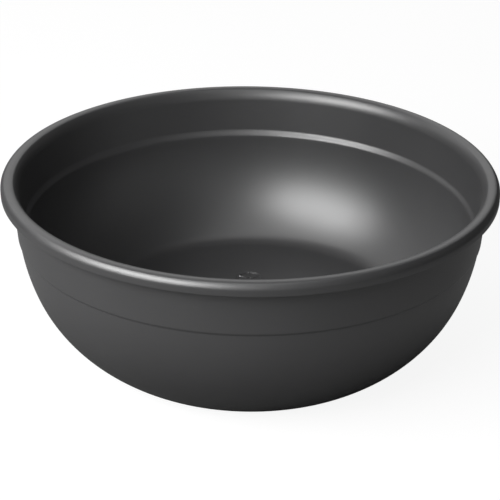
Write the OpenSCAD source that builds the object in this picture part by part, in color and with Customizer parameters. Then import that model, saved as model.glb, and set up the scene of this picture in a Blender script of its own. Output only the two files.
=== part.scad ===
// Round garden planter bowl with a rolled rim and push-in drain plugs.
// The bowl stands on its foot ring at Z = 0, centred on the Z axis. Millimetres.

/* [Bowl] */
// Outside diameter over the rolled rim
bowl_d = 305; // [290:1:340]
// Height from the ground to the crown of the rim
bowl_h = 113.5; // [105:0.5:125]

/* [Rolled rim] */
// Radius at which the inside of the wall turns outward to the crown of the rim
flare_r = 7.5; // [6:0.5:9]
// Radius of the rim's outer shoulder, from the crown to the widest line
shoulder_r = 3.5; // [2.8:0.1:5]
// Radius of the rim's outer face, from the widest line down to the lip
skirt_r = 10; // [8:0.5:14]
// How far the outer face turns in on its way to the lip, in degrees
skirt_turn = 36; // [20:1:45]
// Thickness of the plastic that curls over the rim
rim_wall = 1.8; // [1.4:0.1:2.4]

/* [Upper band] */
// Depth of the upper band, from the crown of the rim to the crease
band_h = 36.5; // [30:0.5:45]
// How far the band stands out over the round body at the crease
crease_step = 0.4; // [0.2:0.1:1]
// Thickness of the band at the crease
band_wall = 1.8; // [1.4:0.1:2.4]

/* [Stacking step inside] */
// Distance of the step's foot above the crease
step_lift = 2.2; // [0.5:0.1:3]
// Height of the S-shaped step
step_h = 5; // [3:0.5:8]

/* [Round body] */
// Largest outside diameter of the body, at the crease
body_d = 283; // [275:0.1:288]
// Radius of the body's round side
body_arc_r = 90.5; // [86:0.5:96]
// Thickness of the body's wall
wall = 3; // [2:0.1:3.6]
// Radius that turns the outside of the wall into the base
base_fold_r = 19.5; // [14:0.5:26]

/* [Floor and foot] */
// Height of the floor's upper face above the ground
floor_z = 10; // [9:0.5:14]
// Thickness of the floor
floor_t = 3; // [2:0.1:3.5]
// Fillet between the floor and the wall
floor_fillet_r = 15; // [8:0.5:20]
// Width of the flat foot ring
foot_w = 8; // [5:0.5:14]
// Number of drain channels across the foot ring
channel_count = 4; // [2:1:8]
// Height of a drain channel
channel_h = 2; // [1:0.1:3]
// Width of a drain channel at the ground
channel_w = 12; // [8:0.5:16]

/* [Drain holes] */
// Number of drain holes, each with its plug
plug_count = 4; // [2:1:6]
// Radius of the circle that the drain holes lie on
hole_circle_r = 51.5; // [30:0.5:60]
// Diameter of a drain hole
hole_d = 12; // [8:0.1:14]
// Diameter of the boss under a drain hole
boss_d = 25; // [23:0.5:30]
// Depth of the boss below the floor
boss_h = 2; // [1:0.1:3]

/* [Drain plugs] */
// Diameter of the plug's head
head_d = 17.6; // [15:0.1:19]
// Thickness of the plug's head
head_t = 1.4; // [1.2:0.1:1.6]
// Width of the bevel round the head's seat
seat_bevel = 0.5; // [0.2:0.1:0.8]
// Depth of the dish in the head
dish_depth = 0.5; // [0.3:0.1:0.7]
// Width of the head's rim and of its ribs
rib_w = 1; // [0.6:0.1:1.4]
// Number of ribs on the head
rib_count = 6; // [3:1:8]
// Diameter of the hub in the middle of the head
hub_d = 5; // [4.5:0.1:6]
// Diameter of the dimple in the hub
dimple_d = 2.4; // [1.5:0.1:3]
// Thickness of the hollow stem's wall
stem_wall = 1.4; // [1:0.1:2]
// How far the stem reaches below the boss
stem_drop = 1.4; // [0.8:0.1:2]
// Chamfer at the end of the stem
stem_chamfer = 0.6; // [0.3:0.1:0.9]

/* [Clearances] */
// Radial clearance between the stem and its hole
stem_clear = 0.05; // [0.02:0.01:0.1]
// Radial clearance between the head and its seat
head_clear = 0.1; // [0.05:0.01:0.2]

/* [Hidden] */
$fn = 180;
step_points = 8;
side_step = 3;
fine_step = 10;
over = 1;

// Rim: middles of its flare, its shoulder and its outer face, which meet at the crown and the widest line
crown_r = bowl_d / 2 - shoulder_r;
flare_c = [crown_r, bowl_h - flare_r];
shoulder_c = [crown_r, bowl_h - shoulder_r];
skirt_c = [bowl_d / 2 - skirt_r, bowl_h - shoulder_r];
// Body: the middle of the round side lies level with the crease
crease_z = bowl_h - band_h;
body_c = [body_d / 2 - body_arc_r, crease_z];
// Step: its foot and head, and the radius of the cavity at each
step_low_z = crease_z + step_lift;
step_top_z = step_low_z + step_h;
body_in_r = body_d / 2 - wall;
band_in_low_r = body_d / 2 + crease_step - band_wall;
band_in_top_r = crown_r - flare_r;
band_in_slope = (band_in_top_r - band_in_low_r) / (flare_c[1] - crease_z);
step_top_r = band_in_low_r + band_in_slope * (step_top_z - crease_z);
// Base and floor: middles of their rounded corners, and the angle at which each meets the round side
base_c = corner_c(body_arc_r, 0, base_fold_r);
base_turn = corner_turn(base_c);
floor_c = corner_c(body_arc_r - wall, floor_z, floor_fillet_r);
floor_turn = corner_turn(floor_c);
// Foot: the base is flat inside the middle of its rounded corner
recess_r = base_c[0] - foot_w;
recess_h = floor_z - floor_t;
channel_r = (pow(channel_w / 2, 2) + pow(channel_h, 2)) / (2 * channel_h);
// Plug: heights of its seat and of the ends of its stem
seat_z = floor_z - head_t;
boss_z = recess_h - boss_h;
stem_z = boss_z - stem_drop;
stem_r = hole_d / 2 - stem_clear;
seat_r = head_d / 2 + head_clear;

// Middle of the rounded corner that touches the side arc and the level flat_z
function corner_c(side_r, flat_z, corner_r) =
    let (rise = crease_z - flat_z - corner_r)
    [body_c[0] + sqrt(pow(side_r - corner_r, 2) - pow(rise, 2)), flat_z + corner_r];

// Angle below the level at which a rounded corner meets the round side
function corner_turn(corner) = atan2(body_c[1] - corner[1], corner[0] - body_c[0]);

// Points of an arc about c, about step degrees apart
function arc(c, r, from_a, to_a, step) =
    let (n = ceil(abs(to_a - from_a) / step))
    [for (i = [0 : n]) let (a = from_a + (to_a - from_a) * i / n) c + r * [cos(a), sin(a)]];

// The same points without the first, where an arc carries on from another
function after_first(points) = [for (i = [1 : len(points) - 1]) points[i]];

// Plugs are numbered from the back and stand at equal angles
function plug_name(i) = str("drain_plug_", i);
function plug_angle(i) = 90 + 360 * (i - 1) / plug_count;

// Half section of the whole moulding, from the foot up the outside, over the rim and down the inside
module bowl_section() {
    foot_and_side = concat(
        [[recess_r, 0]],
        arc(base_c, base_fold_r, -90, -base_turn, fine_step),
        after_first(arc(body_c, body_arc_r, -base_turn, 0, side_step)),
        [[body_d / 2 + crease_step, crease_z]]
    );
    rim_under = concat(
        arc(flare_c, flare_r - rim_wall, 180, 90, fine_step),
        after_first(arc(shoulder_c, shoulder_r - rim_wall, 90, 0, fine_step)),
        after_first(arc(skirt_c, skirt_r - rim_wall, 0, -skirt_turn, fine_step))
    );
    rim_over = concat(
        arc(skirt_c, skirt_r, -skirt_turn, 0, fine_step),
        after_first(arc(shoulder_c, shoulder_r, 0, 90, fine_step)),
        after_first(arc(flare_c, flare_r, 90, 180, fine_step))
    );
    stacking_step = [
        for (i = [0 : step_points])
            let (t = i / step_points)
            [step_top_r + (body_in_r - step_top_r) * (1 - cos(180 * t)) / 2, step_top_z - step_h * t]
    ];
    inside_and_floor = concat(
        arc(body_c, body_arc_r - wall, 0, -floor_turn, side_step),
        after_first(arc(floor_c, floor_fillet_r, -floor_turn, -90, fine_step)),
        [[0, floor_z], [0, recess_h], [recess_r, recess_h]]
    );
    polygon(concat(foot_and_side, rim_under, rim_over, stacking_step, inside_and_floor));
}

// One drain hole with the bevelled seat for the plug's head
module drain_hole() {
    translate([0, 0, boss_z - over])
        cylinder(d = hole_d, h = floor_z - boss_z + 2 * over);
    translate([0, 0, seat_z])
        cylinder(r = seat_r, h = head_t + over);
    translate([0, 0, floor_z - seat_bevel])
        cylinder(r1 = seat_r, r2 = seat_r + seat_bevel + over, h = seat_bevel + over);
}

// The bowl is one moulding: rim, band, body, floor, bosses and foot ring
module bowl_shell() {
    color([0.19, 0.19, 0.195])
        difference() {
            union() {
                rotate_extrude()
                    bowl_section();
                for (i = [1 : plug_count])
                    rotate(plug_angle(i))
                        translate([hole_circle_r, 0, boss_z])
                            cylinder(d = boss_d, h = boss_h + floor_t / 2);
            }
            for (i = [1 : plug_count])
                rotate(plug_angle(i))
                    translate([hole_circle_r, 0, 0])
                        drain_hole();
            for (i = [1 : channel_count])
                rotate(360 * (i - 0.5) / channel_count)
                    translate([recess_r - foot_w / 2, 0, channel_h - channel_r])
                        rotate([0, 90, 0])
                            cylinder(r = channel_r, h = foot_w + base_fold_r);
        }
}

// Half section of a plug: dished head, rim, hub with a dimple, and hollow stem with a chamfered end
module plug_section() {
    difference() {
        translate([0, seat_z])
            square([head_d / 2, head_t]);
        translate([hub_d / 2, floor_z - dish_depth])
            square([head_d / 2 - rib_w - hub_d / 2, dish_depth + over]);
        translate([0, floor_z - dish_depth])
            square([dimple_d / 2, dish_depth + over]);
    }
    polygon([
        [stem_r - stem_wall, stem_z],
        [stem_r - stem_chamfer, stem_z],
        [stem_r, stem_z + stem_chamfer],
        [stem_r, seat_z],
        [stem_r - stem_wall, seat_z]
    ]);
}

// One push-in drain plug, seated in its hole
module drain_plug(i) {
    color([0.16, 0.16, 0.165])
        rotate(plug_angle(i))
            translate([hole_circle_r, 0, 0]) {
                rotate_extrude()
                    plug_section();
                for (k = [1 : rib_count])
                    rotate(360 * k / rib_count)
                        translate([hub_d / 2 - rib_w / 2, -rib_w / 2, floor_z - dish_depth])
                            cube([head_d / 2 - hub_d / 2, rib_w, dish_depth]);
            }
}

bowl_shell();
for (i = [1 : plug_count])
    drain_plug(i);
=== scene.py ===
import bmesh
import bpy
import numpy as np
from mathutils import Matrix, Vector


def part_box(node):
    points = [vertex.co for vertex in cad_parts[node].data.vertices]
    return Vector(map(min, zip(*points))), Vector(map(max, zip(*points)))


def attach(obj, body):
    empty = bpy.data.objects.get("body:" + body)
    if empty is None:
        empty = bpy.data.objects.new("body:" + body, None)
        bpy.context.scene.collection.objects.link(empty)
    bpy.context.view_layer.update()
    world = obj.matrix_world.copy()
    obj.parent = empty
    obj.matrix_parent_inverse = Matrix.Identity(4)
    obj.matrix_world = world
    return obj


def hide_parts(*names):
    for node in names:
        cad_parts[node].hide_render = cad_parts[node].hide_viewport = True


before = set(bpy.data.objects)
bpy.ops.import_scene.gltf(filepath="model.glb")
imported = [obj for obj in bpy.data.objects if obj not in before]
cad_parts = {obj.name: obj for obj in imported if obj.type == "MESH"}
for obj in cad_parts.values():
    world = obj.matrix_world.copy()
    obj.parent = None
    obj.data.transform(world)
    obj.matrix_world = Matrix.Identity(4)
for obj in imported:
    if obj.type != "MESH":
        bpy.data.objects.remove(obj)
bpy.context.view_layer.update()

# Bowl: one injection moulding in charcoal plastic, with a rolled rim, a thin upper band that steps inward
# inside for stacking, a round body, and a flat floor raised on a foot ring.
# Four holes with bevelled seats go through the floor, and four drain channels cross the foot ring.
bowl_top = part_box("bowl_shell")[1]
rim_r = min(bowl_top.x, bowl_top.y)
crown_z = bowl_top.z
# Rolled rim: the radius of each arc, from the widest line over the crown to the inside, and the angle that
# it turns the surface to, in degrees. The plastic curls under the first four.
rim_turns = [(0.0032, 22), (0.0065, 48), (0.0015, 70), (0.006, 118), (0.0021, 140), (0.0127, 172)]
under_turns = 4
arc_step = 4
rim_h = 0.0073
rim_wall = 0.0018
lip_round = 0.0003
# Upper band, crease and stacking step
band_h = 0.0354
crease_step = 0.001
crease_h = 0.0026
crease_lean = 5.5
step_lift = 0.0011
step_h = 0.005
step_r = 0.1403
# Round body
side_lean = 20
side_drop = 0.0011
body_r = 0.1415
body_arc_r = 0.0905
wall = 0.003
base_fold_r = 0.0195
# Floor and foot ring
floor_z = 0.010
floor_t = 0.003
floor_fillet_r = 0.015
foot_w = 0.008
foot_chamfer = 0.0004
channel_h = 0.002
channel_w = 0.012
# Drain holes, numbered from the back
hole_r = 0.006
boss_r = 0.0125
boss_h = 0.002
seat_depth = 0.0014
seat_r = 0.0089
seat_bevel = 0.0003
hole_round = 0.0002
plug_low, plug_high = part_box("drain_plug_1")
hole_circle_r = (plug_low.y + plug_high.y) / 2
hole_angles = {number: 90 * number for number in range(1, 5)}


def arc(middle, radius, start, end, count):
    """Points (r, z) on a circle about middle, evenly spaced from one angle to the other, in degrees."""
    turn = np.radians(np.linspace(start, end, count))
    return np.column_stack([middle[0] + radius * np.cos(turn), middle[1] + radius * np.sin(turn)])


def straight(start, end, shares):
    """Points (r, z) on the line from start to end, at the given shares of its length."""
    share = np.asarray(shares)[:, None]
    return (1 - share) * np.asarray(start) + share * np.asarray(end)


def rounded(before, corner, after, reach, count=5):
    """A corner rounded as a parabola, which leaves one leg and joins the other a reach from the corner."""
    before, corner, after = (np.asarray(point, float) for point in (before, corner, after))
    first = corner + reach * (before - corner) / np.linalg.norm(before - corner)
    last = corner + reach * (after - corner) / np.linalg.norm(after - corner)
    t = np.linspace(0, 1, count)[:, None]
    return (1 - t) ** 2 * first + 2 * t * (1 - t) * corner + t ** 2 * last


def s_step(start, end, count):
    """Points (r, z) of a soft step: the height runs evenly and the radius swings as half a cosine wave."""
    t = np.linspace(0, 1, count)
    swing = (1 - np.cos(np.pi * t)) / 2
    return np.column_stack([start[0] + (end[0] - start[0]) * swing, start[1] + (end[1] - start[1]) * t])


def turned(degrees):
    """The direction (r, z) at an angle above the level, outwards."""
    return np.array([np.cos(np.radians(degrees)), np.sin(np.radians(degrees))])


def rolled(start, turns, inset):
    """A chain of arcs (r, z) that flow into each other. Each starts where the last one ends, has its own
    radius less the inset, at least the lip's rounding, and turns the surface on to its own angle."""
    chain = np.array([start])
    angle = 0
    for radius, end in turns:
        radius = max(radius - inset, lip_round)
        middle = chain[-1] - radius * turned(angle)
        chain = np.vstack([chain, arc(middle, radius, angle, end, (end - angle) // arc_step + 1)[1:]])
        angle = end
    return chain


crease_z = crown_z - band_h
body_middle = np.array([body_r - body_arc_r, crease_z - side_drop])


def fold_middle(side_r, flat_z, fold_r):
    """Middle of the fold of radius fold_r that touches both the round side and the level flat_z."""
    rise = body_middle[1] - flat_z - fold_r
    return np.array([body_middle[0] + np.sqrt((side_r - fold_r) ** 2 - rise ** 2), flat_z + fold_r])


def fold_angle(middle):
    """Angle below the level, in degrees, at which a fold meets the round side."""
    return np.degrees(np.arctan2(body_middle[1] - middle[1], middle[0] - body_middle[0]))


base_middle = fold_middle(body_arc_r, 0, base_fold_r)
base_angle = fold_angle(base_middle)
floor_middle = fold_middle(body_arc_r - wall, floor_z, floor_fillet_r)
floor_angle = fold_angle(floor_middle)
recess_r = base_middle[0] - foot_w
recess_z = floor_z - floor_t
boss_z = recess_z - boss_h

# The section runs from the recess under the floor, over the foot, up the outside, round the rolled rim and
# down the inside to the edge of the flat floor. Above the side's lean a flatter arc leads up to the crease.
side_top = body_middle + body_arc_r * turned(-side_lean)
upper_rise = crease_z - crease_h / 2 - side_top[1]
upper_r = upper_rise / (turned(-crease_lean) - turned(-side_lean))[1]
upper_middle = side_top - upper_r * turned(-side_lean)
crease_foot = upper_middle + upper_r * turned(-crease_lean)
band_foot = crease_foot + [crease_step, crease_h]
rim_over = rolled([rim_r, 0], rim_turns, 0)
rim_over[:, 1] += crown_z - rim_over[:, 1].max()
rim_under = rolled([rim_r - rim_wall, rim_over[0, 1]], rim_turns[:under_turns], rim_wall)[::-1]
lip_in = [rim_r - rim_wall, crown_z - rim_h]
lip_out = [rim_r, crown_z - rim_h]
step_foot_z = crease_z + step_lift
step_top_z = step_foot_z + step_h
band_in_slope = (rim_over[-1, 0] - step_r) / (rim_over[-1, 1] - crease_z)
step_top = [step_r + band_in_slope * (step_top_z - crease_z), step_top_z]
fold_points = 14
outside_points = 26
upper_points = 12
crease_points = 10
step_points = 14
inside_points = 34
fillet_points = 12
band_shares = [0.05, 0.2, 0.5, 0.8, 0.97]
band_in_shares = [0.03, 0.2, 0.5, 0.8, 0.96]
section = np.vstack([
    [[recess_r, recess_z], [recess_r, foot_chamfer], [recess_r + foot_chamfer, 0]],
    [[recess_r + 2 * foot_chamfer, 0]],
    arc(base_middle, base_fold_r, -90, -base_angle, fold_points),
    arc(body_middle, body_arc_r, -base_angle, -side_lean, outside_points)[1:],
    arc(upper_middle, upper_r, -side_lean, -crease_lean, upper_points)[1:-1],
    s_step(crease_foot, band_foot, crease_points),
    straight(band_foot, rim_under[0], band_shares),
    rim_under,
    rounded(rim_under[-1], lip_in, lip_out, lip_round),
    rounded(lip_in, lip_out, rim_over[0], lip_round),
    rim_over,
    straight(rim_over[-1], step_top, band_in_shares),
    s_step(step_top, [body_r - wall, step_foot_z], step_points),
    arc(body_middle, body_arc_r - wall, 0, -floor_angle, inside_points),
    arc(floor_middle, floor_fillet_r, -floor_angle, -90, fillet_points)[1:],
])

quarter_columns = 96
quarter = np.radians(90)
channel_share = 1 / 8
seam_points = 20
sheet_rows = 6
weld_distance = 2e-6
crisp_angle = 32


def gathered(place, radius, half_width, half_sector, share):
    """Angles of a sector's columns. place runs from -1 to 1 across the sector: within the share the columns
    keep a fixed distance from the middle line, up to half_width, and the rest spread evenly to the edge."""
    inner = np.arcsin(half_width * np.clip(place / share, -1, 1) / radius)
    outer = np.clip((np.abs(place) - share) / (1 - share), 0, 1)
    return inner + np.sign(place) * outer * (half_sector - np.arcsin(half_width / radius))


def ring_angles(radius):
    """Angles of the bowl's columns at a radius: four quarters, each gathered along its drain channel."""
    column = np.arange(4 * quarter_columns)
    place = 2 * (column % quarter_columns) / quarter_columns - 1
    middle = quarter * (column // quarter_columns + 0.5)
    return middle, gathered(place, radius, channel_w / 2, quarter / 2, channel_share)


def ring_faces(rows, columns):
    """Quads between neighbours of a grid of points, numbered row by row and closed along its rows."""
    column = np.arange(columns)
    first = (np.arange(rows - 1)[:, None] * columns + column).ravel()
    second = (np.arange(rows - 1)[:, None] * columns + (column + 1) % columns).ravel()
    return np.column_stack([first, second, second + columns, first + columns])


def closed_mesh(name, sheets):
    """One mesh from closed-ring grids of points (rows, columns, 3): points that coincide are merged, faces
    turned outwards, and edges sharper than the crisp angle, in degrees, kept crisp."""
    points = np.vstack([sheet.reshape(-1, 3) for sheet in sheets])
    starts = np.cumsum([0] + [sheet.shape[0] * sheet.shape[1] for sheet in sheets[:-1]])
    faces = np.vstack([start + ring_faces(*sheet.shape[:2]) for start, sheet in zip(starts, sheets)])
    mesh = bpy.data.meshes.new(name)
    mesh.from_pydata(points.tolist(), [], faces.tolist())
    whole = bmesh.new()
    whole.from_mesh(mesh)
    bmesh.ops.remove_doubles(whole, verts=whole.verts, dist=weld_distance)
    bmesh.ops.recalc_face_normals(whole, faces=whole.faces)
    whole.to_mesh(mesh)
    whole.free()
    mesh.shade_smooth()
    mesh.set_sharp_from_angle(angle=np.radians(crisp_angle))
    piece = bpy.data.objects.new(name, mesh)
    bpy.context.scene.collection.objects.link(piece)
    return piece


def turned_section():
    """The section turned about the bowl's axis. Under the foot each point is lifted to the arch of the drain
    channel that it lies in, whose height falls along a circle away from the channel's line. The points on
    the chamfer of the foot's inner edge keep their own height above that arch."""
    radius, height = section[:, :1], section[:, 1:]
    middle, offset = ring_angles(radius)
    across = radius * np.sin(offset)
    arch_r = ((channel_w / 2) ** 2 + channel_h ** 2) / (2 * channel_h)
    arch = np.maximum(channel_h - arch_r + np.sqrt(arch_r ** 2 - np.minimum(across ** 2, arch_r ** 2)), 0)
    on_edge = radius < recess_r + 1.5 * foot_chamfer
    lift = np.where(on_edge, arch, np.maximum(arch - height, 0)) * (height < 2 * channel_h)
    turn = middle + offset
    return np.stack([radius * np.cos(turn), radius * np.sin(turn), height + lift], axis=-1)


def quarter_outline(ring_r):
    """Outline of the quarter of a floor round a drain hole, in plan, with the hole's line along +X: out from
    the bowl's middle along one seam, round the ring and back along the other seam."""
    middle, offset = ring_angles(ring_r)
    ring = np.roll(middle + offset, quarter_columns // 2)[:quarter_columns + 1]
    ring = np.where(ring > np.pi, ring - 2 * np.pi, ring)
    seam = np.linspace(0, ring_r, seam_points, endpoint=False)
    distance = np.concatenate([seam, np.full(ring.shape, ring_r), seam[:0:-1]])
    way = np.concatenate([np.full(seam.shape, ring[0]), ring, np.full(seam.size - 1, ring[-1])])
    return np.column_stack([distance * np.cos(way), distance * np.sin(way)])


def placed(plan, height, degrees):
    """Points in plan, about the bowl's axis, set at a height and turned about that axis."""
    turn = np.radians(degrees)
    x = plan[..., 0] * np.cos(turn) - plan[..., 1] * np.sin(turn)
    y = plan[..., 0] * np.sin(turn) + plan[..., 1] * np.cos(turn)
    return np.stack([x, y, np.broadcast_to(height, x.shape)], axis=-1)


def floor_sheet(ring_r, edge_r, height, degrees):
    """A flat quarter of the floor: straight rays from the edge of a drain hole to the quarter's outline."""
    outline = quarter_outline(ring_r)
    from_hole = outline - [hole_circle_r, 0]
    edge = [hole_circle_r, 0] + edge_r * from_hole / np.linalg.norm(from_hole, axis=1, keepdims=True)
    share = np.linspace(0, 1, sheet_rows)[:, None, None]
    return placed((1 - share) * edge + share * outline, height, degrees)


def hole_wall(degrees):
    """The hole's section turned about its own axis, from the bevel at the floor, down the seat and the bore,
    to the boss under it. The columns pass from the angles of the floor's rays to those of the underside."""
    rays = [quarter_outline(ring_r) - [hole_circle_r, 0] for ring_r in (floor_r, recess_r)]
    top, under = (np.unwrap(np.arctan2(ray[:, 1], ray[:, 0])) for ray in rays)
    share = np.linspace(0, 1, len(hole_section))[:, None]
    turn = (1 - share) * top + share * under
    radius = hole_section[:, :1]
    plan = np.stack([hole_circle_r + radius * np.cos(turn), radius * np.sin(turn)], axis=-1)
    return placed(plan, hole_section[:, 1:], degrees)


seat_z = floor_z - seat_depth
hole_section = np.vstack([
    [[seat_r + seat_bevel, floor_z]],
    [[seat_r, floor_z - seat_bevel]],
    [[seat_r, seat_z]],
    rounded([seat_r, seat_z], [hole_r, seat_z], [hole_r, boss_z], hole_round),
    rounded([hole_r, seat_z], [hole_r, boss_z], [boss_r, boss_z], hole_round),
    rounded([hole_r, boss_z], [boss_r, boss_z], [boss_r, recess_z], hole_round),
    [[boss_r, recess_z]],
])
floor_r = section[-1, 0]
bowl_sheets = [turned_section()]
for degrees in hole_angles.values():
    bowl_sheets.append(floor_sheet(floor_r, seat_r + seat_bevel, floor_z, degrees))
    bowl_sheets.append(floor_sheet(recess_r, boss_r, recess_z, degrees))
    bowl_sheets.append(hole_wall(degrees))
bowl = closed_mesh("planter_bowl", bowl_sheets)

# The bowl and the plugs share one plastic: its colour and gloss, then the slow flow of the melt, the fine
# specks and the drawn-out handling marks, with their scales, the noise that shows and how far it carries.
charcoal = (0.034, 0.034, 0.035)
satin_roughness = 0.42
plastic_ior = 1.55
specular_level = 1.0
grain_depth = 0.00001
flow_scale = 16.0
flow_range = (0.3, 0.7)
speck_scale = 900.0
speck_range = (0.25, 0.75)
mark_scale = (40, 420, 420)
mark_turn = (0.3, 0.2, 0.7)
mark_range = (0.64, 0.78)
mark_tone = 0.15
mark_gloss = 0.2
tone_swing = 0.06
gloss_swing = 0.02
fine_detail = 2.0
flow_detail = 3.0
mark_detail = 4.0


def maths(tree, operation, first, second):
    """A Math node whose two inputs are sockets or plain numbers."""
    step = tree.nodes.new("ShaderNodeMath")
    step.operation = operation
    for socket, value in zip(step.inputs, (first, second)):
        if isinstance(value, float):
            socket.default_value = value
        else:
            tree.links.new(value, socket)
    return step.outputs["Value"]


def ranged(tree, value, low, high, to_low=0, to_high=1, curve="LINEAR"):
    """A Map Range node that carries a value over from one range to another and holds it at the ends."""
    step = tree.nodes.new("ShaderNodeMapRange")
    step.interpolation_type = curve
    for label, number in [("From Min", low), ("From Max", high), ("To Min", to_low), ("To Max", to_high)]:
        step.inputs[label].default_value = number
    tree.links.new(value, step.inputs["Value"])
    return step.outputs["Result"]


def moulded_finish():
    """Node group for moulded plastic: slow tone changes from the melt's flow, fine specks, faint handling
    marks and a fine even grain, all worked out from the place on the piece."""
    tree = bpy.data.node_groups.new("moulded_finish", "ShaderNodeTree")
    for label, kind in [("Colour", "NodeSocketColor"), ("Roughness", "NodeSocketFloat"),
                        ("Grain Scale", "NodeSocketFloat")]:
        tree.interface.new_socket(label, in_out="INPUT", socket_type=kind)
    for label, kind in [("Colour", "NodeSocketColor"), ("Roughness", "NodeSocketFloat"),
                        ("Height", "NodeSocketFloat")]:
        tree.interface.new_socket(label, in_out="OUTPUT", socket_type=kind)
    given = tree.nodes.new("NodeGroupInput").outputs
    result = tree.nodes.new("NodeGroupOutput").inputs
    place = tree.nodes.new("ShaderNodeTexCoord").outputs["Object"]

    def noise(scale, detail, vector):
        """Noise at a place on the piece, whose scale is a socket or a plain number."""
        texture = tree.nodes.new("ShaderNodeTexNoise")
        texture.inputs["Detail"].default_value = detail
        if isinstance(scale, float):
            texture.inputs["Scale"].default_value = scale
        else:
            tree.links.new(scale, texture.inputs["Scale"])
        tree.links.new(vector, texture.inputs["Vector"])
        return texture.outputs["Fac"]

    flow = noise(flow_scale, flow_detail, place)
    speck = noise(speck_scale, fine_detail, place)
    grain = noise(given["Grain Scale"], fine_detail, place)
    drawn = tree.nodes.new("ShaderNodeMapping")
    drawn.inputs["Scale"].default_value = mark_scale
    drawn.inputs["Rotation"].default_value = mark_turn
    tree.links.new(place, drawn.inputs["Vector"])
    mark = ranged(tree, noise(1.0, mark_detail, drawn.outputs["Vector"]), *mark_range)
    mark = maths(tree, "MULTIPLY", mark, mark_tone)
    flow_tone = ranged(tree, flow, *flow_range, 1 - tone_swing, 1 + tone_swing)
    speck_tone = ranged(tree, speck, *speck_range, 1 - tone_swing, 1 + tone_swing)
    tone = maths(tree, "MULTIPLY", flow_tone, speck_tone)
    tone = maths(tree, "MULTIPLY", tone, maths(tree, "ADD", mark, 1.0))
    tinted = tree.nodes.new("ShaderNodeVectorMath")
    tinted.operation = "SCALE"
    tree.links.new(given["Colour"], tinted.inputs[0])
    tree.links.new(tone, tinted.inputs["Scale"])
    flow_rough = ranged(tree, flow, *flow_range, -gloss_swing, gloss_swing)
    speck_rough = ranged(tree, speck, *speck_range, -gloss_swing, gloss_swing)
    rough = maths(tree, "ADD", given["Roughness"], flow_rough)
    rough = maths(tree, "ADD", rough, speck_rough)
    rough = maths(tree, "ADD", rough, maths(tree, "MULTIPLY", mark, mark_gloss))
    tree.links.new(tinted.outputs["Vector"], result["Colour"])
    tree.links.new(rough, result["Roughness"])
    tree.links.new(grain, result["Height"])
    return tree


finish_group = moulded_finish()


def charcoal_plastic(name, grain_scale):
    """Satin moulded plastic: the shared finish drives the shader's colour, roughness and bump."""
    material = bpy.data.materials.new(name)
    material.use_nodes = True
    tree = material.node_tree
    shader = tree.nodes["Principled BSDF"]
    shader.inputs["IOR"].default_value = plastic_ior
    shader.inputs["Specular IOR Level"].default_value = specular_level
    finish = tree.nodes.new("ShaderNodeGroup")
    finish.node_tree = finish_group
    finish.inputs["Colour"].default_value = (*charcoal, 1)
    finish.inputs["Roughness"].default_value = satin_roughness
    finish.inputs["Grain Scale"].default_value = grain_scale
    bump = tree.nodes.new("ShaderNodeBump")
    bump.inputs["Distance"].default_value = grain_depth
    tree.links.new(finish.outputs["Height"], bump.inputs["Height"])
    tree.links.new(finish.outputs["Colour"], shader.inputs["Base Color"])
    tree.links.new(finish.outputs["Roughness"], shader.inputs["Roughness"])
    tree.links.new(bump.outputs["Normal"], shader.inputs["Normal"])
    return material


bowl_grain = 1600
bowl.data.materials.append(charcoal_plastic("bowl_charcoal", bowl_grain))
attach(bowl, "bowl")
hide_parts("bowl_shell")

# Drain plugs: four small push-in caps of the same plastic. Each has a dished head with a rim, six ribs and
# a hub with a dimple, and a hollow stem with a chamfered end that pushes into its hole.
head_r = 0.0088
dish_depth = 0.0005
rib_w = 0.001
rib_count = 6
hub_r = 0.0025
dimple_r = 0.0012
stem_r = 0.00595
stem_wall = 0.0014
stem_z = plug_low.z
stem_chamfer = 0.0006
draft = 0.0001
head_round = 0.00015
plug_grain = 1800
rib_columns = 24
rib_share = 1 / 4
dish_points = 5
dish_z = floor_z - dish_depth
plug_section = np.vstack([
    [[0, dish_z], [dimple_r - draft, dish_z], [dimple_r + draft, floor_z], [hub_r - draft, floor_z]],
    straight([hub_r + draft, dish_z], [head_r - rib_w - draft, dish_z], np.linspace(0, 1, dish_points)),
    [[head_r - rib_w + draft, floor_z]],
    rounded([0, floor_z], [head_r, floor_z], [head_r, seat_z], head_round),
    rounded([head_r, floor_z], [head_r, seat_z], [stem_r, seat_z], head_round),
    [[stem_r, seat_z], [stem_r, stem_z + stem_chamfer], [stem_r - stem_chamfer, stem_z]],
    [[stem_r - stem_wall, stem_z], [stem_r - stem_wall, seat_z], [0, seat_z]],
])
in_dish = np.abs(plug_section[:, :1] - (hub_r + head_r - rib_w) / 2) < (head_r - rib_w - hub_r) / 2


def plug_sheet(degrees):
    """The plug's section turned about its own axis. In the dish the columns on a rib are lifted to the level
    of the head, so each rib has even width and steep flanks."""
    radius, height = plug_section[:, :1], plug_section[:, 1:]
    column = np.arange(rib_count * rib_columns)
    place = 2 * (column % rib_columns) / rib_columns - 1
    sector = 2 * np.pi / rib_count
    half_width = np.minimum(rib_w / 2, radius / 4)
    offset = gathered(place, np.maximum(radius, draft), half_width, sector / 2, rib_share)
    turn = sector * (column // rib_columns) + offset
    on_rib = in_dish & (height == dish_z) & (np.abs(place) <= rib_share)
    plan = np.stack([hole_circle_r + radius * np.cos(turn), radius * np.sin(turn)], axis=-1)
    return placed(plan, np.where(on_rib, floor_z, height + 0 * turn), degrees)


plug_charcoal = charcoal_plastic("plug_charcoal", plug_grain)
for number, degrees in hole_angles.items():
    plug = closed_mesh(f"push_in_plug_{number}", [plug_sheet(degrees)])
    plug.data.materials.append(plug_charcoal)
    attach(plug, f"plug_{number}")
    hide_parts(f"drain_plug_{number}")

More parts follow.
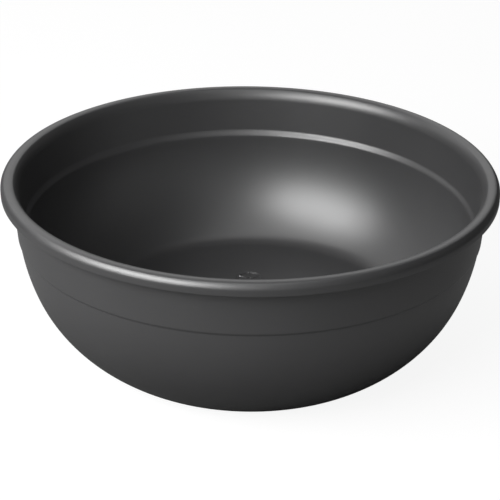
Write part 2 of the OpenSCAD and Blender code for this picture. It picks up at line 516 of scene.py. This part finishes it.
# Studio: a pale floor that sweeps up to a backdrop all round, a key softbox at the front left, a soft light
# from the top, a broad one behind and a low card in front, in a dim room. The camera sees the floor white;
# reflections see it as a painted glow, a painted reflection with painted shade under the bowl, that fades
# towards the backdrop.
inner_r = 0.5
flat_r = 2.2
sweep_start_r = 2.4
sweep_r = 0.8
backdrop_z = 3.0
stage_columns = 96
sweep_points = 16
stage_grey = (0.12, 0.12, 0.12)
stage_roughness = 0.9
stage_gloss = 0.1
room_grey = (0.05, 0.05, 0.05)
white_glow = 0.9
# Painted reflection: the glow that glossy rays see on the floor. It has painted shade under the bowl from
# shade_r to open_r, and falls to far_share of its strength by far_r.
painted_reflection_strength = 0.19
far_share = 0.33
shade_r = 0.11
open_r = 0.22
far_r = 0.5
stage_section = np.vstack([
    [[0, 0], [inner_r, 0], [flat_r, 0]],
    arc([sweep_start_r, sweep_r], sweep_r, -90, 0, sweep_points),
    [[sweep_start_r + sweep_r, backdrop_z]],
])
stage_turn = np.linspace(0, 2 * np.pi, stage_columns, endpoint=False)
stage_points = np.stack([
    stage_section[:, :1] * np.cos(stage_turn),
    stage_section[:, :1] * np.sin(stage_turn),
    stage_section[:, 1:] + 0 * stage_turn,
], axis=-1)
stage_faces = ring_faces(len(stage_section), stage_columns)
stage_mesh = bpy.data.meshes.new("studio_floor")
stage_mesh.from_pydata(stage_points.reshape(-1, 3).tolist(), [], stage_faces.tolist())
stage_mesh.shade_smooth()
studio_floor = bpy.data.objects.new("studio_floor", stage_mesh)
bpy.context.scene.collection.objects.link(studio_floor)

stage_paint = bpy.data.materials.new("pale_floor")
stage_paint.use_nodes = True
stage_tree = stage_paint.node_tree
stage_shader = stage_tree.nodes["Principled BSDF"]
stage_shader.inputs["Base Color"].default_value = (*stage_grey, 1)
stage_shader.inputs["Roughness"].default_value = stage_roughness
stage_shader.inputs["Specular IOR Level"].default_value = stage_gloss
stage_shader.inputs["Emission Color"].default_value = (1, 1, 1, 1)
light_path = stage_tree.nodes.new("ShaderNodeLightPath").outputs
stage_place = stage_tree.nodes.new("ShaderNodeTexCoord").outputs["Object"]
from_middle = stage_tree.nodes.new("ShaderNodeVectorMath")
from_middle.operation = "LENGTH"
stage_tree.links.new(stage_place, from_middle.inputs[0])
stage_distance = from_middle.outputs["Value"]
# Painted shade under the bowl, then the painted glow's fall towards the backdrop, both only in what the bowl
# reflects.
painted_shade_fade = ranged(stage_tree, stage_distance, shade_r, open_r, curve="SMOOTHSTEP")
painted_glow_falloff = ranged(stage_tree, stage_distance, far_r, open_r, far_share, curve="SMOOTHSTEP")
seen = maths(stage_tree, "MULTIPLY", light_path["Is Camera Ray"], white_glow)
# Only glossy and transmission rays see the painted reflection glow; camera rays see the even white.
painted_gloss_glow = maths(stage_tree, "MAXIMUM", light_path["Is Glossy Ray"], light_path["Is Transmission Ray"])
painted_gloss_glow = maths(stage_tree, "MULTIPLY", painted_gloss_glow, maths(stage_tree, "MULTIPLY", painted_shade_fade, painted_glow_falloff))
painted_gloss_glow = maths(stage_tree, "MULTIPLY", painted_gloss_glow, painted_reflection_strength)
stage_glow = maths(stage_tree, "MAXIMUM", seen, painted_gloss_glow)
stage_tree.links.new(stage_glow, stage_shader.inputs["Emission Strength"])
stage_mesh.materials.append(stage_paint)

world = bpy.data.worlds.new("studio_room")
bpy.context.scene.world = world
world.use_nodes = True
world.node_tree.nodes["Background"].inputs["Color"].default_value = (*room_grey, 1)


def softbox(name, azimuth, elevation, distance, width, height, watts):
    """An area lamp that faces the bowl, from an azimuth left of the camera and an elevation, in degrees."""
    lamp = bpy.data.lights.new(name, "AREA")
    lamp.shape = "RECTANGLE"
    lamp.size = width
    lamp.size_y = height
    lamp.energy = watts
    holder = bpy.data.objects.new(name, lamp)
    around = Matrix.Rotation(np.radians(-azimuth), 4, "Z")
    down = Matrix.Rotation(np.radians(90 - elevation), 4, "X")
    target = Matrix.Translation((0, 0, crown_z / 2))
    holder.matrix_world = target @ around @ down @ Matrix.Translation((0, 0, distance))
    bpy.context.scene.collection.objects.link(holder)


softbox("key_softbox", azimuth=48, elevation=34.5, distance=1.0, width=0.95, height=0.45, watts=15.3)
softbox("top_softbox", azimuth=10, elevation=75, distance=1.7, width=1.2, height=1.2, watts=4.5)
softbox("rear_softbox", azimuth=160, elevation=36, distance=1.7, width=3.2, height=1.2, watts=13)
softbox("front_card", azimuth=-8, elevation=17, distance=1.3, width=1.4, height=0.35, watts=0.5)

# Camera: in front of the bowl and above it, pitched down, with the slight tilt of the photograph.
# Its place, pitch and focal length are fitted to the outlines of the rim, the crease and the base.
camera_x = 0.0003
camera_y = -0.7664
camera_z = 0.4414
pitch = 26.625
tilt = 0.74
focal_pixels = 1349.7
image_pixels = 500
sensor_mm = 36
lens_data = bpy.data.cameras.new("view_camera")
lens_data.sensor_width = sensor_mm
lens_data.lens = focal_pixels / image_pixels * sensor_mm
camera = bpy.data.objects.new("view_camera", lens_data)
camera.matrix_world = (
    Matrix.Translation((camera_x, camera_y, camera_z))
    @ Matrix.Rotation(np.radians(90 - pitch), 4, "X")
    @ Matrix.Rotation(np.radians(tilt), 4, "Z")
)
bpy.context.scene.collection.objects.link(camera)
bpy.context.scene.camera = camera
bpy.context.scene.view_settings.view_transform = "Standard"
